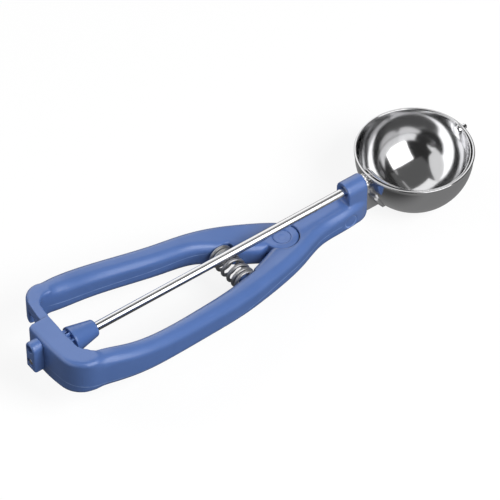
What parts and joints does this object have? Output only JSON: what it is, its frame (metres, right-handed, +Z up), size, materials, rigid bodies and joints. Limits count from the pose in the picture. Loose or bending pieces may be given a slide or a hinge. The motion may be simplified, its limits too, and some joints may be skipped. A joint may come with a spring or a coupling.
{
  "type": "lever ice cream scoop",
  "caption": "Squeeze-handle ice cream scoop: a spring-loaded lever drives a rack and pinion that sweeps a scraper blade round a half-round steel bowl.",
  "frame": {"origin": "centre of the mouth of the hanging hole in the tail cap's outer face", "axes": "+X runs along the drive rod from the tail to the bowl, +Y points to the lever's side, +Z is up, out of the open bowl"},
  "size_m": [0.2361, 0.0583, 0.0389],
  "materials": {
    "handle_blue": "satin moulded plastic",
    "rack_blue": "moulded acetal",
    "rod_chrome": "polished plating",
    "bowl_steel": "mirror inside, satin outside",
    "pressed_steel": "pressed stainless sheet",
    "spring_steel": "bright drawn wire"
  },
  "bodies": {
    "frame": {"main_handle": "handle_blue", "tail_cap": "handle_blue", "pivot_pin": "pressed_steel", "pivot_washer": "pressed_steel", "pivot_retaining_ring": "spring_steel", "bowl": "bowl_steel", "bowl_tang": "pressed_steel", "tang_rivet": "pressed_steel", "rivet_plugs": "handle_blue", "return_spring": "spring_steel"},
    "lever": {"lever_handle": "handle_blue", "gear_rack": "rack_blue", "rack_rivets": "pressed_steel", "pivot_cap": "handle_blue"},
    "shaft": {"drive_rod": "rod_chrome", "drive_pinion": "handle_blue", "drive_collar": "rod_chrome", "scraper_blade": "pressed_steel", "scraper_washer": "pressed_steel", "front_pivot_pin": "rod_chrome"}
  },
  "joints": [
    {"name": "lever_pivot", "type": "hinge", "parent": "frame", "child": "lever", "pos_m": [0.1325, 0, -0.008], "axis": [0, 0, 1], "range_deg": [0, 6], "stiffness_Nm_per_rad": 0.9, "springref_deg": -20.05, "deforming": ["return_spring"]},
    {"name": "shaft_turn", "type": "hinge", "parent": "frame", "child": "shaft", "pos_m": [0.1, 0, -0.008], "axis": [1, 0, 0], "range_deg": [0, 159]}
  ],
  "couplings": [
    {"joint": "shaft_turn", "follows": "lever_pivot", "ratio": 26.444}
  ]
}
